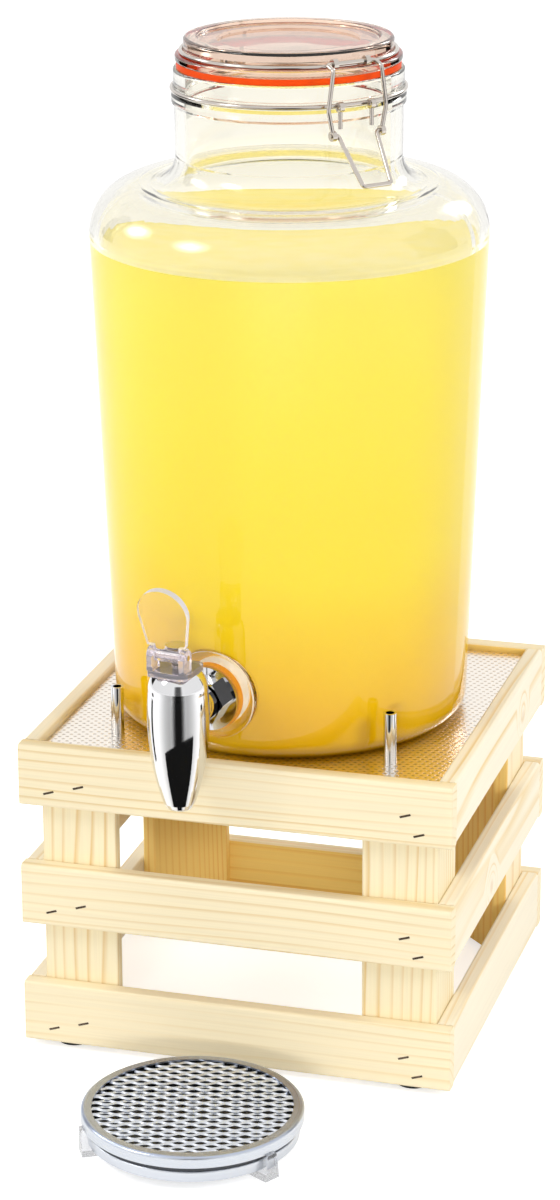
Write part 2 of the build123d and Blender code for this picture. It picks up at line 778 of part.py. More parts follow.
# Grille: expanded metal, staggered diamonds cut out of one sheet
grille_radius = dish_inner_radius - grille_play
cell_side = sqrt((grille_pitch / 2)**2 + grille_row_step**2)
cell_reach = grille_pitch / 2 * grille_row_step / cell_side
hole_share = 1 - grille_strand / 2 / cell_reach
hole_long = grille_pitch / 2 * hole_share
hole_short = grille_row_step * hole_share
diamond = make_face(Polyline((hole_long, 0), (0, hole_short), (-hole_long, 0), (0, -hole_short), close=True))
hole_limit = tray_rim_inner_radius - grille_margin
diamonds = []
row_count = int(hole_limit / grille_row_step)
column_count = int(hole_limit / grille_pitch) + 1
for row in range(-row_count, row_count + 1):
    for column in range(-column_count, column_count + 1):
        x = (column + row % 2 / 2) * grille_pitch
        y = row * grille_row_step
        if sqrt(x**2 + y**2) + hole_short < hole_limit:
            diamonds.append(Pos(x, y) * diamond)
sheet = Circle(grille_radius) - diamonds
grille = extrude(sheet, grille_thickness)
nodes["tray_grille"] = at_tray(Pos(0, 0, flange_low - grille_thickness) * Rot(0, 0, grille_turn) * grille)

# Tray feet: clear moulded blocks under the dish with an upstand outside it
foot_top = skirt_low - tray_foot_play
foot_outer_radius = tray_rim_radius + tray_foot_stand
for name, angle in tray_foot_angles.items():
    front = make_face(Polyline(
        (-tray_foot_width / 2, 0),
        (tray_foot_width / 2, 0),
        (tray_foot_top_width / 2, foot_top),
        (-tray_foot_top_width / 2, foot_top),
        close=True,
    ))
    block = extrude(Plane.YZ * front, foot_outer_radius - tray_foot_inner_radius)
    block = Pos(tray_foot_inner_radius, 0, 0) * block
    block = block - upright(tray_dish_radius + tray_foot_play, tray_dish_lift, tray_height)
    nodes[f"tray_foot_{name}"] = at_tray(Rot(0, 0, angle) * block)

os.makedirs("parts", exist_ok=True)
for name, shape in nodes.items():
    export_step(shape, f"parts/{name}.step")

# Joint places for the record, in millimetres
turn = radians(clip_turn)
lid_hinge = (-hinge_y * sin(turn), hinge_y * cos(turn), hinge_z)
bail_hinge = (-bail_y * sin(turn), bail_y * cos(turn), bail_z)
lever_hinge = (-leg_y * sin(turn), leg_y * cos(turn), foot_z)
pivot_distance = tap_axis + pivot_forward
handle_hinge = (
    pivot_distance * sin(radians(tap_turn)),
    -pivot_distance * cos(radians(tap_turn)),
    tap_joint_z + pivot_height,
)
print("nodes", len(nodes), "grille openings", len(diamonds))
for title, place in (
    ("lid hinge", lid_hinge),
    ("bail hinge", bail_hinge),
    ("lever hinge", lever_hinge),
    ("handle hinge", handle_hinge),
):
    print(title, [round(value, 3) for value in place])
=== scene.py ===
import math

import bmesh
import bpy
from mathutils import Matrix, Vector


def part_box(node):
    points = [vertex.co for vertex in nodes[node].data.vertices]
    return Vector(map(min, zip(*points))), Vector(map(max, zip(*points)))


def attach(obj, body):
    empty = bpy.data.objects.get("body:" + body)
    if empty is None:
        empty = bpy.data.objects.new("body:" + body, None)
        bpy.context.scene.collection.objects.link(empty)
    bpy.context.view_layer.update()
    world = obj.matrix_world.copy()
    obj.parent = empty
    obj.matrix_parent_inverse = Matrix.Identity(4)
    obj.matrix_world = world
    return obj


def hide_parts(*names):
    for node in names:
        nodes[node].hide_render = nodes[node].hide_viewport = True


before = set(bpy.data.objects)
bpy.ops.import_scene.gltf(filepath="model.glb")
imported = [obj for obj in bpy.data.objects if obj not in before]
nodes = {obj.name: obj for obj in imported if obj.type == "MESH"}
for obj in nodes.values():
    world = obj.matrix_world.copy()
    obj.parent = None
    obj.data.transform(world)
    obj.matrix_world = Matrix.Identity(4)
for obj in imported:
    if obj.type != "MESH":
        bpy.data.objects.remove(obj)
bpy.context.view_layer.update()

# Crate slats and posts.
# Planed spruce laths and three-cornered posts, unvarnished: cream wood with straight, faint growth rings;
# inside at the back it has painted shade, darker and yellower. The laths are stapled to the posts at front
# and back, glued at the sides.


def linear(code):
    """An sRGB hex colour as linear RGBA."""
    shares = [int(code[i:i + 2], 16) / 255 for i in (1, 3, 5)]
    return [s / 12.92 if s <= 0.04045 else ((s + 0.055) / 1.055) ** 2.4 for s in shares] + [1.0]


def add(tree, kind, inputs=None, **settings):
    """Add one shader node with its settings; an input is a value or the socket it is linked to."""
    made = tree.nodes.new("ShaderNode" + kind)
    for name, value in settings.items():
        setattr(made, name, value)
    for name, value in (inputs or {}).items():
        if isinstance(value, bpy.types.NodeSocket):
            tree.links.new(value, made.inputs[name])
        else:
            made.inputs[name].default_value = value
    return made


def start_material(name):
    """A new node material: the material, its tree and its Principled shader."""
    made = bpy.data.materials.new(name)
    made.use_nodes = True
    return made, made.node_tree, made.node_tree.nodes["Principled BSDF"]


def dress(material, *names):
    """Give CAD nodes a material."""
    for name in names:
        for slot in nodes[name].material_slots:
            slot.material = material


def ramp(node, *stops):
    """Set a colour ramp's stops: (place, sRGB hex)."""
    marks = node.color_ramp.elements
    while len(marks) < len(stops):
        marks.new(1.0)
    for mark, (place, code) in zip(marks, stops):
        mark.position = place
        mark.color = linear(code)


def spruce(name, turn, pith, spacing, early, late, knots=(), outside=None):
    """Planed spruce with its grain along the X axis of the turned coordinates. The rings stand round
    a pith line, given in metres across the grain; earlywood is wide and pale, latewood thin and tan.
    Past the outside planes, at a side and at the back, a piece with painted shade is as pale as the colour
    given."""
    made, tree, shader = start_material(name)
    place = add(tree, "TexCoord").outputs["Object"]
    board = add(tree, "Mapping", {"Vector": place, "Rotation": turn}, vector_type="POINT").outputs["Vector"]
    long_grain = add(tree, "Mapping", {"Vector": board, "Scale": (2.0, 14.0, 14.0)}).outputs["Vector"]
    drift = add(tree, "TexNoise", {"Vector": long_grain, "Scale": 1.0, "Detail": 2.0}).outputs["Color"]
    sway = add(tree, "VectorMath", {0: drift, 1: (0.5, 0.5, 0.5)}, operation="SUBTRACT").outputs[0]
    sway = add(tree, "VectorMath", {0: sway, 1: (0.0, 0.022, 0.022)}, operation="MULTIPLY").outputs[0]
    moved = add(tree, "VectorMath", {0: board, 1: sway}, operation="ADD").outputs[0]
    from_pith = add(tree, "VectorMath", {0: moved, 1: (0.0, *pith)}, operation="SUBTRACT").outputs[0]
    across = add(tree, "VectorMath", {0: from_pith, 1: (0.0, 1.0, 1.0)}, operation="MULTIPLY").outputs[0]
    rings = add(tree, "VectorMath", {0: across}, operation="LENGTH").outputs["Value"]
    heart = None
    for spot in knots:
        gap = add(tree, "VectorMath", {0: place, 1: spot}, operation="DISTANCE").outputs["Value"]
        swell = add(tree, "MapRange", {"Value": gap, "From Min": 0.0, "From Max": 0.024, "To Min": 0.016,
                                       "To Max": 0.0}, interpolation_type="SMOOTHERSTEP").outputs["Result"]
        rings = add(tree, "Math", {0: rings, 1: swell}, operation="ADD").outputs[0]
        dark = add(tree, "MapRange", {"Value": gap, "From Min": 0.0015, "From Max": 0.006, "To Min": 0.25,
                                      "To Max": 0.0}, interpolation_type="SMOOTHSTEP").outputs["Result"]
        if heart is not None:
            dark = add(tree, "Math", {0: heart, 1: dark}, operation="MAXIMUM").outputs[0]
        heart = dark
    count = add(tree, "Math", {0: rings, 1: spacing}, operation="DIVIDE").outputs[0]
    phase = add(tree, "Math", {0: count}, operation="FRACT").outputs[0]
    tone = add(tree, "ValToRGB", {"Fac": phase})
    ramp(tone, (0.0, early), (0.62, early), (0.9, late), (1.0, early))
    bands = add(tree, "Mapping", {"Vector": board, "Scale": (4.0, 45.0, 45.0)}).outputs["Vector"]
    strength = add(tree, "TexNoise", {"Vector": bands, "Scale": 1.0, "Detail": 2.0}).outputs["Fac"]
    weight = add(tree, "MapRange", {"Value": strength, "From Min": 0.35, "From Max": 0.65, "To Min": 0.15,
                                    "To Max": 1.0}).outputs["Result"]
    grain = add(tree, "Mix", {"Factor": weight, "A": linear(early), "B": tone.outputs["Color"]},
                data_type="RGBA").outputs["Result"]
    fine = add(tree, "Mapping", {"Vector": board, "Scale": (12.0, 900.0, 900.0)}).outputs["Vector"]
    fibre = add(tree, "TexNoise", {"Vector": fine, "Scale": 1.0, "Detail": 1.0}).outputs["Fac"]
    cloud = add(tree, "TexNoise", {"Vector": board, "Scale": 9.0, "Detail": 1.0}).outputs["Fac"]
    streak = add(tree, "MapRange", {"Value": fibre, "From Min": 0.3, "From Max": 0.7, "To Min": 0.97,
                                    "To Max": 1.015}).outputs["Result"]
    patch = add(tree, "MapRange", {"Value": cloud, "From Min": 0.3, "From Max": 0.7, "To Min": 0.98,
                                   "To Max": 1.01}).outputs["Result"]
    shade = add(tree, "Math", {0: streak, 1: patch}, operation="MULTIPLY").outputs[0]
    colour = add(tree, "VectorMath", {0: grain, "Scale": shade}, operation="SCALE").outputs[0]
    if heart is not None:
        colour = add(tree, "Mix", {"Factor": heart, "A": colour, "B": linear("#D09A58")},
                     data_type="RGBA").outputs["Result"]
    # Painted shade: within the outside planes the wood keeps the darker, yellower tone given; past them it is
    # lifted to the pale colour.
    if outside is not None:
        side_plane, back_plane, pale = outside
        apart = add(tree, "SeparateXYZ", {"Vector": place})
        sideways = add(tree, "Math", {0: apart.outputs["X"]}, operation="ABSOLUTE").outputs[0]
        at_side = add(tree, "Math", {0: sideways, 1: side_plane}, operation="GREATER_THAN").outputs[0]
        backwards = apart.outputs["Y"]
        at_back = add(tree, "Math", {0: backwards, 1: back_plane}, operation="GREATER_THAN").outputs[0]
        outer = add(tree, "Math", {0: at_side, 1: at_back}, operation="MAXIMUM").outputs[0]
        shade_lifted = [new / old for new, old in zip(linear(pale), linear(early))][:3]
        paler = add(tree, "VectorMath", {0: colour, 1: shade_lifted}, operation="MULTIPLY").outputs[0]
        colour = add(tree, "Mix", {"Factor": outer, "A": colour, "B": paler},
                     data_type="RGBA").outputs["Result"]
    tree.links.new(colour, shader.inputs["Base Color"])
    relief = add(tree, "Bump", {"Height": fibre, "Strength": 0.12, "Distance": 0.0003}).outputs["Normal"]
    tree.links.new(relief, shader.inputs["Normal"])
    shader.inputs["Roughness"].default_value = 0.58
    return made


quarter = math.pi / 2
rows = ("bottom", "middle", "top")
unshaded_wood = "#FBECC8"
side_face = 0.1275
side_knots = ((side_face, -0.02, 0.088), (side_face, 0.06, 0.165), (-side_face, 0.03, 0.03))
along_width, along_depth, upright = (0, 0, 0), (0, 0, quarter), (0, quarter, 0)
front_slats = spruce("planed_spruce_along_width", along_width, (-0.19, -0.09), 0.0052, unshaded_wood, "#EBCF92")
# The back slats and posts have painted shade: inside the crate they are darker and yellower, and their outer
# faces have the unshaded colour.
back_slats = spruce("spruce_painted_shade_along_width", along_width, (0.16, -0.05), 0.0058, "#FFDB7E", "#F0B852",
                    outside=(0.1172, 0.1129, unshaded_wood))
side_slats = spruce("planed_spruce_along_depth", along_depth, (-0.165, 0.088), 0.0060, "#FCF1D8", "#EECF8E",
                    side_knots)
front_posts = spruce("planed_spruce_upright", upright, (0.03, -0.01), 0.0036, "#FBEDC8", "#E9C888")
back_posts = spruce("spruce_painted_shade_upright", upright, (0.02, 0.19), 0.0038, "#FFDA82", "#F2B85A",
                    outside=(0.1167, 0.1122, unshaded_wood))
for row in rows:
    dress(front_slats, f"slat_front_{row}")
    dress(back_slats, f"slat_back_{row}")
    dress(side_slats, f"slat_left_{row}", f"slat_right_{row}")
corners = ("front_left", "front_right", "back_left", "back_right")
dress(front_posts, "corner_post_front_left", "corner_post_front_right")
dress(back_posts, "corner_post_back_left", "corner_post_back_right")

# Staples and screws.
# Thin wire staples shot level with the slats, gone dull brown, and zinc-plated steel screws that hold the
# feet and the locating pins from below.

dull_wire, tree, shader = start_material("dulled_staple_wire")
place = add(tree, "TexCoord").outputs["Object"]
spots = add(tree, "TexNoise", {"Vector": place, "Scale": 900.0, "Detail": 2.0}).outputs["Fac"]
tone = add(tree, "ValToRGB", {"Fac": spots})
ramp(tone, (0.35, "#3B2E22"), (0.65, "#6B5A48"))
tree.links.new(tone.outputs["Color"], shader.inputs["Base Color"])
shader.inputs["Metallic"].default_value = 0.6
shader.inputs["Roughness"].default_value = 0.5
dress(dull_wire, "slat_staples")

zinc, tree, shader = start_material("zinc_plated_steel")
place = add(tree, "TexCoord").outputs["Object"]
spangle = add(tree, "TexNoise", {"Vector": place, "Scale": 400.0, "Detail": 2.0}).outputs["Fac"]
tone = add(tree, "ValToRGB", {"Fac": spangle})
ramp(tone, (0.35, "#A9ACB0"), (0.65, "#C8CACD"))
tree.links.new(tone.outputs["Color"], shader.inputs["Base Color"])
shader.inputs["Metallic"].default_value = 1.0
shader.inputs["Roughness"].default_value = 0.38
dress(zinc, "foot_screws", "pin_screws")

# Rubber feet.
# Small moulded black rubber pads screwed under the posts; matt, with dust in the pores.

rubber, tree, shader = start_material("moulded_black_rubber")
place = add(tree, "TexCoord").outputs["Object"]
pores = add(tree, "TexNoise", {"Vector": place, "Scale": 1200.0, "Detail": 2.0}).outputs["Fac"]
tone = add(tree, "ValToRGB", {"Fac": pores})
ramp(tone, (0.3, "#1B1B1C"), (0.75, "#2E2E2F"))
tree.links.new(tone.outputs["Color"], shader.inputs["Base Color"])
relief = add(tree, "Bump", {"Height": pores, "Strength": 0.25, "Distance": 0.0002}).outputs["Normal"]
tree.links.new(relief, shader.inputs["Normal"])
shader.inputs["Roughness"].default_value = 0.7
dress(rubber, *(f"rubber_foot_{corner}" for corner in corners))

# Base board.
# A spruce panel that stands on the posts inside the top slats, in the darker, yellower tone of the painted
# shade inside the crate; it carries the metal plate, the pins and the jar.

dress(back_slats, "base_board")

# Embossed plate.
# Thin bright aluminium sheet rolled with rows of small staggered dimples, so that its reflections break
# up into a sparkle. The rows are 7 mm apart, with a dimple of 2.9 by 1.7 mm every 4.5 mm.

embossed, tree, shader = start_material("embossed_aluminium_sheet")
place = add(tree, "TexCoord").outputs["Object"]
rolled = add(tree, "Mapping", {"Vector": place, "Rotation": (0, 0, -0.3)}).outputs["Vector"]
dimple_pitch, row_half = 0.0045, 0.0035
per_metre = (1 / dimple_pitch, 1 / row_half, 0.0)
cells = add(tree, "VectorMath", {0: rolled, 1: per_metre}, operation="MULTIPLY").outputs[0]
apart = add(tree, "SeparateXYZ", {"Vector": cells})
row_number = add(tree, "Math", {0: apart.outputs["Y"]}, operation="FLOOR").outputs[0]
half = add(tree, "Math", {0: row_number, 1: 0.5}, operation="MULTIPLY").outputs[0]
shifted = add(tree, "Math", {0: apart.outputs["X"], 1: half}, operation="ADD").outputs[0]
across = add(tree, "Math", {0: shifted}, operation="FRACT").outputs[0]
along = add(tree, "Math", {0: apart.outputs["Y"]}, operation="FRACT").outputs[0]
middle = add(tree, "CombineXYZ", {"X": across, "Y": along}).outputs["Vector"]
offset = add(tree, "VectorMath", {0: middle, 1: (0.5, 0.5, 0.0)}, operation="SUBTRACT").outputs[0]
oval = add(tree, "VectorMath", {0: offset, 1: (2.9, 3.2, 0.0)}, operation="MULTIPLY").outputs[0]
reach = add(tree, "VectorMath", {0: oval}, operation="LENGTH").outputs["Value"]
dimple = add(tree, "MapRange", {"Value": reach, "From Min": 0.3, "From Max": 1.0},
             interpolation_type="SMOOTHERSTEP").outputs["Result"]
relief = add(tree, "Bump", {"Height": dimple, "Strength": 0.55, "Distance": 0.0003}).outputs["Normal"]
tree.links.new(relief, shader.inputs["Normal"])
# Painted shade: the dimples are painted darker and warmer than the sheet, as shaded pits.
tone = add(tree, "ValToRGB", {"Fac": dimple})
ramp(tone, (0.0, "#D2C3B0"), (0.6, "#FBF3E8"))
tree.links.new(tone.outputs["Color"], shader.inputs["Base Color"])
shader.inputs["Metallic"].default_value = 1.0
shader.inputs["Roughness"].default_value = 0.22
dress(embossed, "top_plate")

# Locating pins and the metal of the tap.
# Turned brass, polished and chromium-plated: a near-perfect mirror with a faint haze.

chrome, tree, shader = start_material("polished_chromium_plate")
place = add(tree, "TexCoord").outputs["Object"]
haze = add(tree, "TexNoise", {"Vector": place, "Scale": 60.0, "Detail": 3.0}).outputs["Fac"]
gloss = add(tree, "MapRange", {"Value": haze, "From Min": 0.3, "From Max": 0.7, "To Min": 0.03,
                               "To Max": 0.07}).outputs["Result"]
tree.links.new(gloss, shader.inputs["Roughness"])
shader.inputs["Base Color"].default_value = linear("#E3E3E4")
shader.inputs["Metallic"].default_value = 1.0
dress(chrome, *(f"locating_pin_{corner}" for corner in corners))

# Jar.
# Clear machine-blown soda-lime glass, 6 mm thick, with a heavy foot and a flat pad round the tap hole.
# The walls wave a little, as blown glass does, and the glass has a faint warm tint.


def pass_lamp_light(tree, shader):
    """Let lamps shine through a clear piece: shadow rays go straight on."""
    path = add(tree, "LightPath")
    clear = add(tree, "BsdfTransparent")
    both = add(tree, "MixShader", {0: path.outputs["Is Shadow Ray"], 1: shader.outputs[0],
                                   2: clear.outputs[0]})
    tree.links.new(both.outputs[0], tree.nodes["Material Output"].inputs["Surface"])


jar_glass, tree, shader = start_material("blown_soda_lime_glass")
place = add(tree, "TexCoord").outputs["Object"]
wave = add(tree, "TexNoise", {"Vector": place, "Scale": 14.0, "Detail": 1.0}).outputs["Fac"]
relief = add(tree, "Bump", {"Height": wave, "Strength": 0.08, "Distance": 0.004}).outputs["Normal"]
tree.links.new(relief, shader.inputs["Normal"])
shader.inputs["Base Color"].default_value = linear("#FAF8F0")
shader.inputs["Roughness"].default_value = 0.0
shader.inputs["IOR"].default_value = 1.5
shader.inputs["Transmission Weight"].default_value = 1.0
pass_lamp_light(tree, shader)
dress(jar_glass, "glass_jar")

# Drink.
# Cloudy lemonade up to the shoulder, the jar's contents: a turned body that wets the glass and shows in
# its thick foot. It is flat behind the tap's pad and hollow round the washer, nut and shank, and its top
# has painted light: a paler colour and a little glow that brighten it.

wetting = 0.0004
jar_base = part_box("glass_jar")[0].z
drink_floor = jar_base + 0.0036
drink_level = jar_base + 0.2805
foot_radius = 0.0998
top_radius = 0.1077 + wetting
meniscus_width = 0.004
meniscus_rise = 0.0012
outline = bmesh.new()
rim = [outline.verts.new(spot) for spot in (
    (0.0, 0.0, drink_floor),
    (foot_radius, 0.0, drink_floor),
    (top_radius, 0.0, drink_level),
    (top_radius - meniscus_width, 0.0, drink_level - meniscus_rise),
    (0.0, 0.0, drink_level - meniscus_rise),
)]
for near, far in zip(rim, rim[1:]):
    outline.edges.new((near, far))
bmesh.ops.bevel(outline, geom=[rim[1]], offset=0.0072, offset_type="OFFSET", segments=8, profile=0.5,
                affect="VERTICES", material=-1)
bmesh.ops.spin(outline, geom=outline.verts[:] + outline.edges[:], cent=(0, 0, 0), axis=(0, 0, 1),
               angle=2 * math.pi, steps=128, use_merge=True, use_duplicate=False)
bmesh.ops.remove_doubles(outline, verts=outline.verts[:], dist=0.00002)
bmesh.ops.recalc_face_normals(outline, faces=outline.faces[:])
drink_mesh = bpy.data.meshes.new("drink")
outline.to_mesh(drink_mesh)
outline.free()
drink = bpy.data.objects.new("drink", drink_mesh)
bpy.context.scene.collection.objects.link(drink)

nut_low, nut_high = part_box("lock_nut")
nut_middle = (nut_low + nut_high) / 2
shank_way = Vector((nut_middle.x, nut_middle.y, 0.0)).normalized()
shank_turn = shank_way.to_track_quat("Z", "Y").to_matrix().to_4x4()
# Each hollow: its distances from the jar's axis at the near and far end, and its radii there.
pad_recess = (0.0967 + wetting, 0.115, 0.0262, 0.0262)
flange_recess = (0.0905, 0.0973, 0.0198, 0.0243)
nut_recess = (0.0825, 0.0907, 0.0142, 0.0142)
shank_recess = (0.068, 0.0827, 0.0077, 0.0077)
for near, far, near_radius, far_radius in (pad_recess, flange_recess, nut_recess, shank_recess):
    recess_shape = bmesh.new()
    recess_place = shank_way * (near + far) / 2 + Vector((0, 0, nut_middle.z))
    bmesh.ops.create_cone(recess_shape, cap_ends=True, segments=64, radius1=near_radius, radius2=far_radius,
                          depth=far - near, matrix=Matrix.Translation(recess_place) @ shank_turn)
    recess_mesh = bpy.data.meshes.new("tap_recess")
    recess_shape.to_mesh(recess_mesh)
    recess_shape.free()
    recess = bpy.data.objects.new("tap_recess", recess_mesh)
    bpy.context.scene.collection.objects.link(recess)
    hollow = drink.modifiers.new("tap_recess", "BOOLEAN")
    hollow.object = recess
    hollow.operation = "DIFFERENCE"
    hollow.solver = "EXACT"
    cut_mesh = bpy.data.meshes.new_from_object(drink.evaluated_get(bpy.context.evaluated_depsgraph_get()))
    drink.modifiers.clear()
    whole_mesh = drink.data
    drink.data = cut_mesh
    bpy.data.objects.remove(recess)
    bpy.data.meshes.remove(recess_mesh)
    bpy.data.meshes.remove(whole_mesh)
cut_mesh.name = "drink"
cut_mesh.shade_smooth()
cut_mesh.set_sharp_from_angle(angle=math.radians(35))

lemonade, tree, shader = start_material("cloudy_lemonade")
place = add(tree, "TexCoord").outputs["Object"]
apart = add(tree, "SeparateXYZ", {"Vector": place})
depth = add(tree, "MapRange", {"Value": apart.outputs["Z"], "From Min": 0.19,
                               "From Max": 0.4655}).outputs["Result"]
swirl = add(tree, "TexNoise", {"Vector": place, "Scale": 11.0, "Detail": 2.0}).outputs["Fac"]
drift = add(tree, "MapRange", {"Value": swirl, "From Min": 0.3, "From Max": 0.7, "To Min": -0.05,
                               "To Max": 0.05}).outputs["Result"]
height_with_swirl = add(tree, "Math", {0: depth, 1: drift}, operation="ADD").outputs[0]
# Darker and more orange towards the bottom.
tone = add(tree, "ValToRGB", {"Fac": height_with_swirl})
ramp(tone, (0.0, "#F5C00A"), (0.14, "#FCD216"), (0.4, "#FFE932"), (0.7, "#FFED46"), (1.0, "#FFEF5C"))
tree.links.new(tone.outputs["Color"], shader.inputs["Base Color"])
shader.inputs["Roughness"].default_value = 0.5
shader.inputs["Specular IOR Level"].default_value = 0.0
cut_mesh.materials.append(lemonade)

still_top, tree, shader = start_material("still_lemonade_surface")
place = add(tree, "TexCoord").outputs["Object"]
froth = add(tree, "TexNoise", {"Vector": place, "Scale": 60.0, "Detail": 3.0}).outputs["Fac"]
tone = add(tree, "ValToRGB", {"Fac": froth})
ramp(tone, (0.3, "#FFEF80"), (0.7, "#FFF296"))
tree.links.new(tone.outputs["Color"], shader.inputs["Base Color"])
shader.inputs["Roughness"].default_value = 0.2
shader.inputs["IOR"].default_value = 1.34
shader.inputs["Specular IOR Level"].default_value = 0.25
# Painted light: the top glows a little, though it is no lamp, and its colour is paler to brighten it.
tree.links.new(tone.outputs["Color"], shader.inputs["Emission Color"])
shader.inputs["Emission Strength"].default_value = 0.12
cut_mesh.materials.append(still_top)
for face in cut_mesh.polygons:
    if face.normal.z > 0.7 and face.center.z > drink_level - 2 * meniscus_rise:
        face.material_index = 1
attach(drink, "jar")

# Clip wires.
# Bright drawn steel wire, 2.5 mm: a band round the neck, a ring round the lid with the hinge behind,
# the bail and the lever. Fine drawing lines soften its shine.

wire, tree, shader = start_material("bright_drawn_steel_wire")
place = add(tree, "TexCoord").outputs["Object"]
scratch = add(tree, "TexNoise", {"Vector": place, "Scale": 700.0, "Detail": 2.0}).outputs["Fac"]
gloss = add(tree, "MapRange", {"Value": scratch, "From Min": 0.3, "From Max": 0.7, "To Min": 0.06,
                               "To Max": 0.14}).outputs["Result"]
tree.links.new(gloss, shader.inputs["Roughness"])
shader.inputs["Base Color"].default_value = linear("#CBC3BB")
shader.inputs["Metallic"].default_value = 1.0
dress(wire, "neck_band", "lid_wire", "clip_bail", "clip_lever")

# Gasket.
# Orange silicone ring between the lid and the rim; smooth moulded surface with a soft sheen.

gasket, tree, shader = start_material("orange_silicone")
place = add(tree, "TexCoord").outputs["Object"]
bloom = add(tree, "TexNoise", {"Vector": place, "Scale": 120.0, "Detail": 2.0}).outputs["Fac"]
tone = add(tree, "ValToRGB", {"Fac": bloom})
ramp(tone, (0.3, "#EE4600"), (0.7, "#F35103"))
tree.links.new(tone.outputs["Color"], shader.inputs["Base Color"])
shader.inputs["Roughness"].default_value = 0.45
shader.inputs["Specular IOR Level"].default_value = 0.18
dress(gasket, "lid_gasket")

# Lid.
# Pressed glass with stepped rings on top, tinted warmer than the jar, with softer edges.

lid_glass, tree, shader = start_material("pressed_soda_lime_glass")
place = add(tree, "TexCoord").outputs["Object"]
wave = add(tree, "TexNoise", {"Vector": place, "Scale": 30.0, "Detail": 1.0}).outputs["Fac"]
relief = add(tree, "Bump", {"Height": wave, "Strength": 0.08, "Distance": 0.002}).outputs["Normal"]
tree.links.new(relief, shader.inputs["Normal"])
shader.inputs["Base Color"].default_value = linear("#EED1BD")
shader.inputs["Roughness"].default_value = 0.02
shader.inputs["IOR"].default_value = 1.5
shader.inputs["Transmission Weight"].default_value = 1.0
pass_lamp_light(tree, shader)
dress(lid_glass, "glass_lid")

# Tap.
# Chromium-plated body, bonnet, shank and nut, screwed together through the jar's wall between an amber
# silicone washer outside and white nylon inside, which has a painted glow that brightens it in its recess.

dress(chrome, "tap_body", "tap_bonnet", "tap_shank", "shank_nut")
dress(wire, "tap_stem", "handle_pin")

amber, tree, shader = start_material("amber_silicone")
place = add(tree, "TexCoord").outputs["Object"]
bloom = add(tree, "TexNoise", {"Vector": place, "Scale": 150.0, "Detail": 2.0}).outputs["Fac"]
tone = add(tree, "ValToRGB", {"Fac": bloom})
ramp(tone, (0.3, "#EA9422"), (0.7, "#F3A537"))
tree.links.new(tone.outputs["Color"], shader.inputs["Base Color"])
shader.inputs["Roughness"].default_value = 0.4
dress(amber, "outer_washer")

nylon, tree, shader = start_material("white_nylon")
place = add(tree, "TexCoord").outputs["Object"]
bloom = add(tree, "TexNoise", {"Vector": place, "Scale": 200.0, "Detail": 2.0}).outputs["Fac"]
tone = add(tree, "ValToRGB", {"Fac": bloom})
ramp(tone, (0.3, "#F7F0E0"), (0.7, "#FCF7EC"))
tree.links.new(tone.outputs["Color"], shader.inputs["Base Color"])
# Painted light: the nylon glows a little, though it is no lamp.
tree.links.new(tone.outputs["Color"], shader.inputs["Emission Color"])
shader.inputs["Emission Strength"].default_value = 0.3
shader.inputs["Roughness"].default_value = 0.45
dress(nylon, "inner_washer", "lock_nut", "seat_cup")

# Tap collar and paddle.
# Clear moulded acrylic with a faint violet cast, polished by the mould. The collar's ribs and thick
# walls scatter more light than the flat paddle, so it looks milkier.


def acrylic(name, tint, clarity, flat_way=None):
    """Clear plastic; where a blade's flat way is given, its narrow edges are a little frosted."""
    made, tree, shader = start_material(name)
    place = add(tree, "TexCoord").outputs["Object"]
    flow = add(tree, "TexNoise", {"Vector": place, "Scale": 90.0, "Detail": 1.0}).outputs["Fac"]
    relief = add(tree, "Bump", {"Height": flow, "Strength": 0.1, "Distance": 0.001}).outputs["Normal"]
    tree.links.new(relief, shader.inputs["Normal"])
    shader.inputs["Base Color"].default_value = linear(tint)
    shader.inputs["Roughness"].default_value = 0.03
    shader.inputs["IOR"].default_value = 1.49
    shader.inputs["Transmission Weight"].default_value = clarity
    if flat_way is not None:
        normal = add(tree, "NewGeometry").outputs["True Normal"]
        level = add(tree, "VectorMath", {0: normal, 1: flat_way}, operation="DOT_PRODUCT").outputs["Value"]
        facing = add(tree, "Math", {0: level}, operation="ABSOLUTE").outputs[0]
        frost = add(tree, "MapRange", {"Value": facing, "From Min": 0.3, "From Max": 0.9, "To Min": 0.3,
                                       "To Max": clarity}).outputs["Result"]
        tree.links.new(frost, shader.inputs["Transmission Weight"])
    pass_lamp_light(tree, shader)
    return made


blade_lean = math.radians(13)
tap_turn = Matrix.Rotation(math.radians(-9), 3, "Z")
blade_way = tap_turn @ Vector((0.0, math.cos(blade_lean), math.sin(blade_lean)))
dress(acrylic("clear_moulded_acrylic", "#FAF5FA", 1.0, blade_way), "handle_paddle")
dress(acrylic("milky_moulded_acrylic", "#F1EAF2", 0.78), "tap_collar")

# Drip tray.
# Spun stainless steel dish with a loose rim ring over its edge. Fine turned lines give both a satin
# finish. The inside of the dish is painted dark grey: painted shade under the grille.

satin, tree, shader = start_material("satin_stainless_steel")
tray_low, tray_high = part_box("tray_rim")
tray_middle = (tray_low + tray_high) / 2
place = add(tree, "TexCoord").outputs["Object"]
to_middle = (-tray_middle.x, -tray_middle.y, 0.0)
turned = add(tree, "Mapping", {"Vector": place, "Location": to_middle}).outputs["Vector"]
apart = add(tree, "SeparateXYZ", {"Vector": turned})
flat = add(tree, "VectorMath", {0: turned, 1: (1.0, 1.0, 0.0)}, operation="MULTIPLY").outputs[0]
radius = add(tree, "VectorMath", {0: flat}, operation="LENGTH").outputs["Value"]
groove = add(tree, "CombineXYZ", {"X": radius, "Y": apart.outputs["Z"]}).outputs["Vector"]
lines = add(tree, "TexNoise", {"Vector": groove, "Scale": 2500.0, "Detail": 2.0}).outputs["Fac"]
gloss = add(tree, "MapRange", {"Value": lines, "From Min": 0.3, "From Max": 0.7, "To Min": 0.24,
                               "To Max": 0.36}).outputs["Result"]
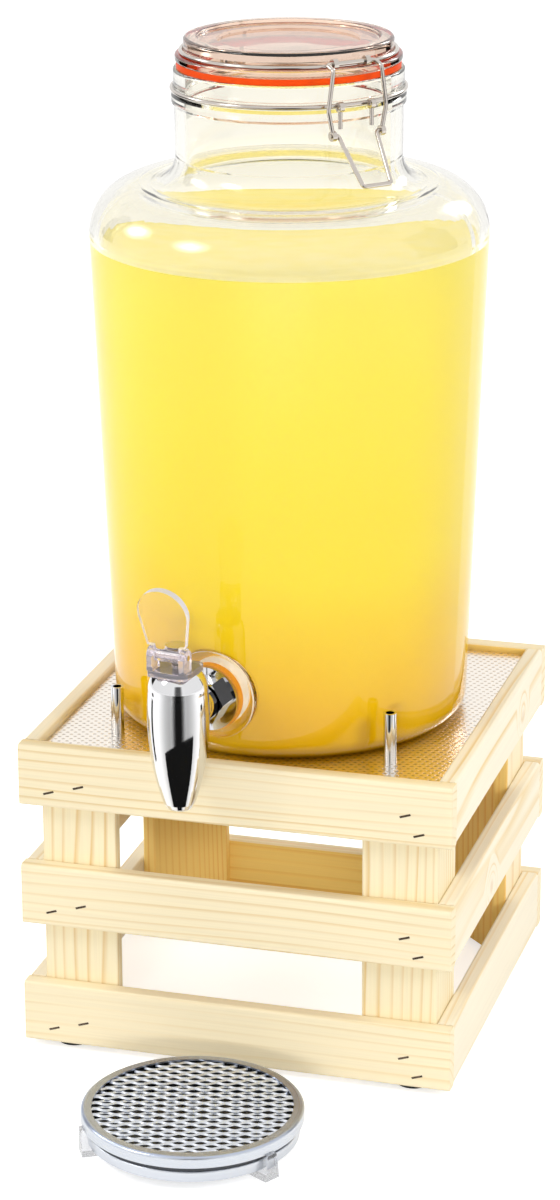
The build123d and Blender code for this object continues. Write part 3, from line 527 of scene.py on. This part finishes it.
tree.links.new(gloss, shader.inputs["Roughness"])
relief = add(tree, "Bump", {"Height": lines, "Strength": 0.1, "Distance": 0.0001}).outputs["Normal"]
tree.links.new(relief, shader.inputs["Normal"])
# Painted shade: the inside of the dish is painted dark grey, as shade under the grille.
dish_wall, dish_edge = 0.0582, 0.0205
within = add(tree, "Math", {0: radius, 1: dish_wall}, operation="LESS_THAN").outputs[0]
below = add(tree, "Math", {0: apart.outputs["Z"], 1: dish_edge}, operation="LESS_THAN").outputs[0]
inside = add(tree, "Math", {0: within, 1: below}, operation="MULTIPLY").outputs[0]
# Painted reflection: the top of the rim is painted bluer and darker, to cancel the warm reflection of the
# wood.
rim_top = add(tree, "MapRange", {"Value": apart.outputs["Z"], "From Min": 0.0207,
                                 "From Max": 0.0217}).outputs["Result"]
outside = add(tree, "Mix", {"Factor": rim_top, "A": linear("#CDD2DA"), "B": linear("#B9C3D8")},
              data_type="RGBA").outputs["Result"]
tone = add(tree, "Mix", {"Factor": inside, "A": outside, "B": linear("#515356")},
           data_type="RGBA").outputs["Result"]
tree.links.new(tone, shader.inputs["Base Color"])
shader.inputs["Metallic"].default_value = 1.0
dress(satin, "tray_dish", "tray_rim")

# Lower band of the dish.
# The dish is drawn in below a groove under the rim, so that a second, narrower band shows there. It is
# pressed from the same sheet, and the groove is painted dark, as shade under the rim.

band_outline = bmesh.new()
band_rim = [band_outline.verts.new(spot) for spot in (
    (0.05895, 0.0, 0.0152),
    (0.05895, 0.0, 0.0122),
    (0.0598, 0.0, 0.0116),
    (0.0594, 0.0, 0.0060),
    (0.0565, 0.0, 0.0046),
    (0.0, 0.0, 0.0046),
)]
for near, far in zip(band_rim, band_rim[1:]):
    band_outline.edges.new((near, far))
bmesh.ops.bevel(band_outline, geom=band_rim[2:5], offset=0.0005, offset_type="OFFSET",
                segments=4, profile=0.5, affect="VERTICES", material=-1)
bmesh.ops.spin(band_outline, geom=band_outline.verts[:] + band_outline.edges[:], cent=(0, 0, 0),
               axis=(0, 0, 1), angle=2 * math.pi, steps=96, use_merge=True, use_duplicate=False)
bmesh.ops.remove_doubles(band_outline, verts=band_outline.verts[:], dist=0.00002)
bmesh.ops.recalc_face_normals(band_outline, faces=band_outline.faces[:])
bmesh.ops.translate(band_outline, verts=band_outline.verts[:], vec=(tray_middle.x, tray_middle.y, 0.0))
band_mesh = bpy.data.meshes.new("dish_band")
band_outline.to_mesh(band_mesh)
band_outline.free()
band_mesh.shade_smooth()
band_mesh.set_sharp_from_angle(angle=math.radians(40))
dish_band = bpy.data.objects.new("dish_band", band_mesh)
bpy.context.scene.collection.objects.link(dish_band)

pressed, tree, shader = start_material("pressed_stainless_steel")
place = add(tree, "TexCoord").outputs["Object"]
height = add(tree, "SeparateXYZ", {"Vector": place}).outputs["Z"]
# Painted shade: the groove is painted dark.
groove = add(tree, "MapRange", {"Value": height, "From Min": 0.0119, "From Max": 0.0122}).outputs["Result"]
tone = add(tree, "Mix", {"Factor": groove, "A": linear("#D3D7DE"), "B": linear("#4A4C50")}, data_type="RGBA")
tree.links.new(tone.outputs["Result"], shader.inputs["Base Color"])
shader.inputs["Metallic"].default_value = 1.0
shader.inputs["Roughness"].default_value = 0.3
band_mesh.materials.append(pressed)
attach(dish_band, "tray")

# Tray feet.
# Three small blocks of clear moulded acrylic, pushed on under the edge of the dish; a little milky, as
# the mould left them.

dress(acrylic("clear_acrylic_feet", "#F4F5F8", 0.92), "tray_foot_back", "tray_foot_left", "tray_foot_right")

# Grille.
# Stainless sheet, slit and stretched: rows of wavy strands that all slant towards the front, meet at the
# bonds and leave eye-shaped holes. It is trimmed to a circle and lies under the rim.

pitch = 0.012
row_step = 0.0036
strand_width = 0.00155
strand_slant = math.radians(27)
strand_thickness = 0.0008
swing = 0.8 * row_step / 2
bond_drop = (row_step / 2 - swing) * math.tan(strand_slant)
sheet_low, sheet_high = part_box("tray_grille")
edge_play = 0.0006
below_rim = 0.0011
sheet_radius = (sheet_high.x - sheet_low.x) / 2 - edge_play
sheet_turn = Matrix.Rotation(math.radians(15), 4, "Z")
sheet_place = (sheet_low + sheet_high) / 2
sheet_place.z = sheet_high.z - below_rim
samples = 16
row_count = int(sheet_radius / row_step)
sample_count = int(sheet_radius / pitch * samples)
grille_shape = bmesh.new()
for row in range(-row_count, row_count + 1):
    before = None
    for sample in range(-sample_count, sample_count + 1):
        sway = math.cos(2 * math.pi * sample / samples + math.pi * row)
        spot = Vector((sample * pitch / samples, row * row_step + swing * sway, -bond_drop * sway))
        if spot.xy.length > sheet_radius:
            before = None
            continue
        here = grille_shape.verts.new(spot)
        if before:
            grille_shape.edges.new((before, here))
        before = here
across = strand_width * Vector((0.0, math.cos(strand_slant), math.sin(strand_slant)))
front_edge = grille_shape.verts[:]
strips = bmesh.ops.extrude_edge_only(grille_shape, edges=grille_shape.edges[:])["geom"]
back_edge = [part for part in strips if isinstance(part, bmesh.types.BMVert)]
bmesh.ops.translate(grille_shape, verts=front_edge, vec=-across / 2)
bmesh.ops.translate(grille_shape, verts=back_edge, vec=across / 2)
bmesh.ops.recalc_face_normals(grille_shape, faces=grille_shape.faces[:])
bmesh.ops.solidify(grille_shape, geom=grille_shape.faces[:], thickness=strand_thickness)
bmesh.ops.transform(grille_shape, verts=grille_shape.verts[:],
                    matrix=Matrix.Translation(sheet_place) @ sheet_turn)
bmesh.ops.recalc_face_normals(grille_shape, faces=grille_shape.faces[:])
grille_mesh = bpy.data.meshes.new("expanded_grille")
grille_shape.to_mesh(grille_mesh)
grille_shape.free()
grille_mesh.shade_smooth()
grille_mesh.set_sharp_from_angle(angle=math.radians(40))
grille = bpy.data.objects.new("expanded_grille", grille_mesh)
bpy.context.scene.collection.objects.link(grille)

expanded, tree, shader = start_material("expanded_stainless_steel")
place = add(tree, "TexCoord").outputs["Object"]
wear = add(tree, "TexNoise", {"Vector": place, "Scale": 300.0, "Detail": 2.0}).outputs["Fac"]
gloss = add(tree, "MapRange", {"Value": wear, "From Min": 0.3, "From Max": 0.7, "To Min": 0.26,
                               "To Max": 0.38}).outputs["Result"]
tree.links.new(gloss, shader.inputs["Roughness"])
shader.inputs["Base Color"].default_value = linear("#D6DAE1")
shader.inputs["Metallic"].default_value = 1.0
grille_mesh.materials.append(expanded)
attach(grille, "tray_cover")
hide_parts("tray_grille")

# Floor, light and camera.
# A white floor and backdrop, soft boxes on both sides, and dark cards that draw the edges of the glass
# and the chrome, as a product photographer sets them.


def seen(tree):
    """1 for rays that show the backdrop: straight from the camera, mirrored or through glass, and not
    on their way from a matt surface."""
    path = add(tree, "LightPath").outputs
    shown = path["Is Camera Ray"]
    for way in ("Is Glossy Ray", "Is Transmission Ray"):
        shown = add(tree, "Math", {0: shown, 1: path[way]}, operation="MAXIMUM").outputs[0]
    first = add(tree, "Math", {0: path["Diffuse Depth"], 1: 0.5}, operation="LESS_THAN").outputs[0]
    return add(tree, "Math", {0: shown, 1: first}, operation="MULTIPLY").outputs[0]


floor_shape = bmesh.new()
bmesh.ops.create_grid(floor_shape, x_segments=1, y_segments=1, size=6.0)
floor_mesh = bpy.data.meshes.new("floor")
floor_shape.to_mesh(floor_mesh)
floor_shape.free()
floor = bpy.data.objects.new("floor", floor_mesh)
bpy.context.scene.collection.objects.link(floor)
paper, tree, shader = start_material("white_paper_floor")
shader.inputs["Base Color"].default_value = (0.8, 0.8, 0.8, 1.0)
shader.inputs["Roughness"].default_value = 1.0
shader.inputs["Specular IOR Level"].default_value = 0.0
shader.inputs["Emission Color"].default_value = (1.0, 1.0, 1.0, 1.0)
floor_glow = 0.5
glow_in_view = 0.14
glow = add(tree, "Math", {0: seen(tree), 1: floor_glow}, operation="MULTIPLY").outputs[0]
straight = add(tree, "LightPath").outputs["Is Camera Ray"]
glow = add(tree, "Math", {0: straight, 1: glow_in_view, 2: glow}, operation="MULTIPLY_ADD").outputs[0]
tree.links.new(glow, shader.inputs["Emission Strength"])
floor_mesh.materials.append(paper)

world = bpy.data.worlds.new("white_studio")
bpy.context.scene.world = world
world.use_nodes = True
tree = world.node_tree
sky_light = 0.63
level = add(tree, "MapRange", {"Value": seen(tree), "To Min": sky_light, "To Max": 1.0}).outputs["Result"]
tree.links.new(level, tree.nodes["Background"].inputs["Strength"])
tree.nodes["Background"].inputs["Color"].default_value = (1.0, 1.0, 1.0, 1.0)


def aim(place, target):
    """The matrix of a thing at a place whose face looks at a target."""
    turn = (Vector(target) - Vector(place)).to_track_quat("-Z", "Y").to_matrix().to_4x4()
    return Matrix.Translation(place) @ turn


def soft_box(name, place, width, height, power, mirrored=True):
    """An area lamp that fades towards its edges, as light through a diffuser does."""
    lamp = bpy.data.lights.new(name, "AREA")
    lamp.use_nodes = True
    tree = lamp.node_tree
    sheet = add(tree, "NewGeometry").outputs["Parametric"]
    middle = (0.5, 0.5, 0.0)
    off_centre = add(tree, "VectorMath", {0: sheet, 1: middle}, operation="DISTANCE").outputs["Value"]
    fade = add(tree, "MapRange", {"Value": off_centre, "From Min": 0.0, "From Max": 0.5, "To Min": 3.8,
                                  "To Max": 0.0}, interpolation_type="SMOOTHSTEP").outputs["Result"]
    tree.links.new(fade, tree.nodes["Emission"].inputs["Strength"])
    lamp.shape = "RECTANGLE"
    lamp.size = width
    lamp.size_y = height
    lamp.energy = power
    made = bpy.data.objects.new(name, lamp)
    bpy.context.scene.collection.objects.link(made)
    made.matrix_world = aim(place, (0, 0, 0.3))
    made.visible_glossy = mirrored
    made.visible_transmission = mirrored


soft_box("key_box", (-1.35, -1.25, 1.55), 0.95, 1.1, 10.5)
soft_box("left_box", (-1.9, 0.05, 1.35), 0.8, 1.0, 7.5)
soft_box("rim_box", (0.8, 1.9, 1.35), 0.8, 1.0, 11.0)
soft_box("fill_box", (1.9, -0.6, 1.2), 1.0, 1.2, 16.0, mirrored=False)
soft_box("low_box", (0.35, -1.9, 0.3), 0.9, 0.4, 9.3, mirrored=False)

tap_low, tap_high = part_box("tap_bonnet")
tap_foot = Vector(((tap_low.x + tap_high.x) / 2, (tap_low.y + tap_high.y) / 2, 0.0))
photographer = math.radians(17.8)


def black_card(name, fade_angles=None, fade_reach=None, depth=1.0, in_glass=False):
    """Black card, dark on one side. It may thin out with the angle and the distance from the tap, and
    unless it is for the glass it stays out of the jar's perfectly sharp reflections."""
    made, tree, shader = start_material(name)
    shader.inputs["Base Color"].default_value = (0.01, 0.01, 0.01, 1.0)
    shader.inputs["Roughness"].default_value = 1.0
    shader.inputs["Specular IOR Level"].default_value = 0.0
    share = add(tree, "NewGeometry").outputs["Backfacing"]
    if fade_angles is not None:
        place = add(tree, "TexCoord").outputs["Object"]
        from_tap = add(tree, "VectorMath", {0: place, 1: tap_foot}, operation="SUBTRACT").outputs[0]
        flat = add(tree, "VectorMath", {0: from_tap, 1: (1.0, 1.0, 0.0)}, operation="MULTIPLY").outputs[0]
        reach = add(tree, "VectorMath", {0: flat}, operation="LENGTH").outputs["Value"]
        bearing = add(tree, "VectorMath", {0: flat}, operation="NORMALIZE").outputs[0]
        ahead = (math.sin(photographer), -math.cos(photographer), 0.0)
        along = add(tree, "VectorMath", {0: bearing, 1: ahead}, operation="DOT_PRODUCT").outputs["Value"]
        aside = add(tree, "MapRange", {"Value": along, "From Min": math.cos(fade_angles[0]),
                                       "From Max": math.cos(fade_angles[1]), "To Min": 1.0 - depth},
                    interpolation_type="SMOOTHSTEP").outputs["Result"]
        beyond = add(tree, "MapRange", {"Value": reach, "From Min": fade_reach[0],
                                        "From Max": fade_reach[1]},
                     interpolation_type="SMOOTHSTEP").outputs["Result"]
        thin = add(tree, "Math", {0: aside, 1: beyond}, operation="MAXIMUM").outputs[0]
        share = add(tree, "Math", {0: share, 1: thin}, operation="MAXIMUM").outputs[0]
    if not in_glass:
        sharp = add(tree, "LightPath").outputs["Is Singular Ray"]
        share = add(tree, "Math", {0: share, 1: sharp}, operation="MAXIMUM").outputs[0]
    clear = add(tree, "BsdfTransparent")
    one_sided = add(tree, "MixShader", {0: share, 1: shader.outputs[0], 2: clear.outputs[0]})
    tree.links.new(one_sided.outputs[0], tree.nodes["Material Output"].inputs["Surface"])
    return made


plain_card = black_card("black_card")
glass_card = black_card("black_card_in_glass", in_glass=True)
aisle_card = black_card("faded_black_card", (math.radians(6), math.radians(26)), (1.3, 1.9))
grey_card = black_card("faded_grey_card", (math.radians(25), math.radians(85)), (1.3, 1.9), 0.6)
faded_flag = black_card("faded_black_flag", (math.radians(4), math.radians(18)), (2.0, 3.0), 0.9)


def card(name, shape, material, in_glass=False):
    """A card that only mirrors can see, or only glass."""
    mesh = bpy.data.meshes.new(name)
    shape.to_mesh(mesh)
    shape.free()
    mesh.materials.append(material)
    made = bpy.data.objects.new(name, mesh)
    bpy.context.scene.collection.objects.link(made)
    made.visible_camera = False
    made.visible_diffuse = False
    made.visible_shadow = False
    made.visible_glossy = not in_glass
    made.visible_transmission = in_glass


def standing_card(name, bearing, distance, width, low, high, material=plain_card, in_glass=False,
                  foot=tap_foot):
    """An upright card round a foot point, at a bearing from the front towards the right."""
    shape = bmesh.new()
    place = foot + distance * Vector((math.sin(bearing), -math.cos(bearing), 0.0))
    place.z = (low + high) / 2
    facing = Vector((foot.x - place.x, foot.y - place.y, 0.0)).to_track_quat("Z", "Y").to_matrix().to_4x4()
    size = Matrix.Diagonal((width, high - low, 1.0, 1.0))
    bmesh.ops.create_grid(shape, x_segments=1, y_segments=1, size=0.5,
                          matrix=Matrix.Translation(place) @ facing @ size)
    card(name, shape, material, in_glass)


standing_card("dark_front", photographer, 1.0, 0.64, 0.06, 0.8, faded_flag)
standing_card("dark_tap_left", math.radians(-92), 0.3, 0.05, 0.03, 0.16)
standing_card("dark_tap_right", math.radians(110), 0.3, 0.05, 0.03, 0.16)
standing_card("dark_left", math.radians(-118), 0.65, 0.16, 0.42, 0.8, glass_card, in_glass=True)
standing_card("dark_right", math.radians(116), 0.6, 0.3, 0.42, 0.85, glass_card, in_glass=True)
jar_axis = Vector((0.0, 0.0, 0.0))
standing_card("dark_neck_left", math.radians(-104), 0.65, 0.45, 0.25, 0.52, foot=jar_axis)
standing_card("dark_neck_right", math.radians(138), 0.65, 0.45, 0.25, 0.52, foot=jar_axis)


def floor_card(name, radius, half_angle, height, material, sidestep=0.0):
    """A card lying in front of the tap: the slice of a circle towards the photographer. A sidestep of
    the circle to the right makes the slice longer there."""
    fan = bmesh.new()
    middle = tap_foot + Vector((sidestep * math.cos(photographer), sidestep * math.sin(photographer), height))
    bmesh.ops.create_circle(fan, cap_ends=True, segments=48, radius=radius, matrix=Matrix.Translation(middle))
    for side in (-1, 1):
        edge = photographer + side * half_angle
        outward = side * Vector((math.cos(edge), math.sin(edge), 0.0))
        bmesh.ops.bisect_plane(fan, geom=fan.verts[:] + fan.edges[:] + fan.faces[:], plane_co=tap_foot,
                               plane_no=outward, clear_outer=True)
    card(name, fan, material)


floor_card("dark_table", 0.37, math.radians(56), 0.028, plain_card, 0.07)
floor_card("dark_aisle", 1.9, math.radians(26), 0.027, aisle_card)
floor_card("grey_apron", 1.9, math.radians(85), 0.026, grey_card)

frame_width, frame_height = 560, 1200
focal_pixels = 3563.9
axis_across, axis_down = 227.9, 537.5
lens = bpy.data.cameras.new("photo_camera")
lens.sensor_fit = "AUTO"
lens.sensor_width = 36.0
lens.lens = lens.sensor_width * focal_pixels / frame_height
lens.shift_x = (frame_width / 2 - axis_across) / frame_height
lens.shift_y = (axis_down - frame_height / 2) / frame_height
lens.clip_end = 50.0
camera = bpy.data.objects.new("photo_camera", lens)
bpy.context.scene.collection.objects.link(camera)
azimuth, height_angle, roll = (math.radians(angle) for angle in (16.968, 17.953, -0.540))
level_share = math.cos(height_angle)
back = Vector((math.sin(azimuth) * level_share, -math.cos(azimuth) * level_share, math.sin(height_angle)))
right = Vector((math.cos(azimuth), math.sin(azimuth), 0.0))
up = back.cross(right)
tilted_right = math.cos(roll) * right + math.sin(roll) * up
tilted_up = math.cos(roll) * up - math.sin(roll) * right
camera_turn = Matrix((tilted_right, tilted_up, back)).transposed().to_4x4()
camera.matrix_world = Matrix.Translation((0.5428, -1.9042, 0.9273)) @ camera_turn
bpy.context.scene.camera = camera
bpy.context.scene.view_settings.view_transform = "Standard"
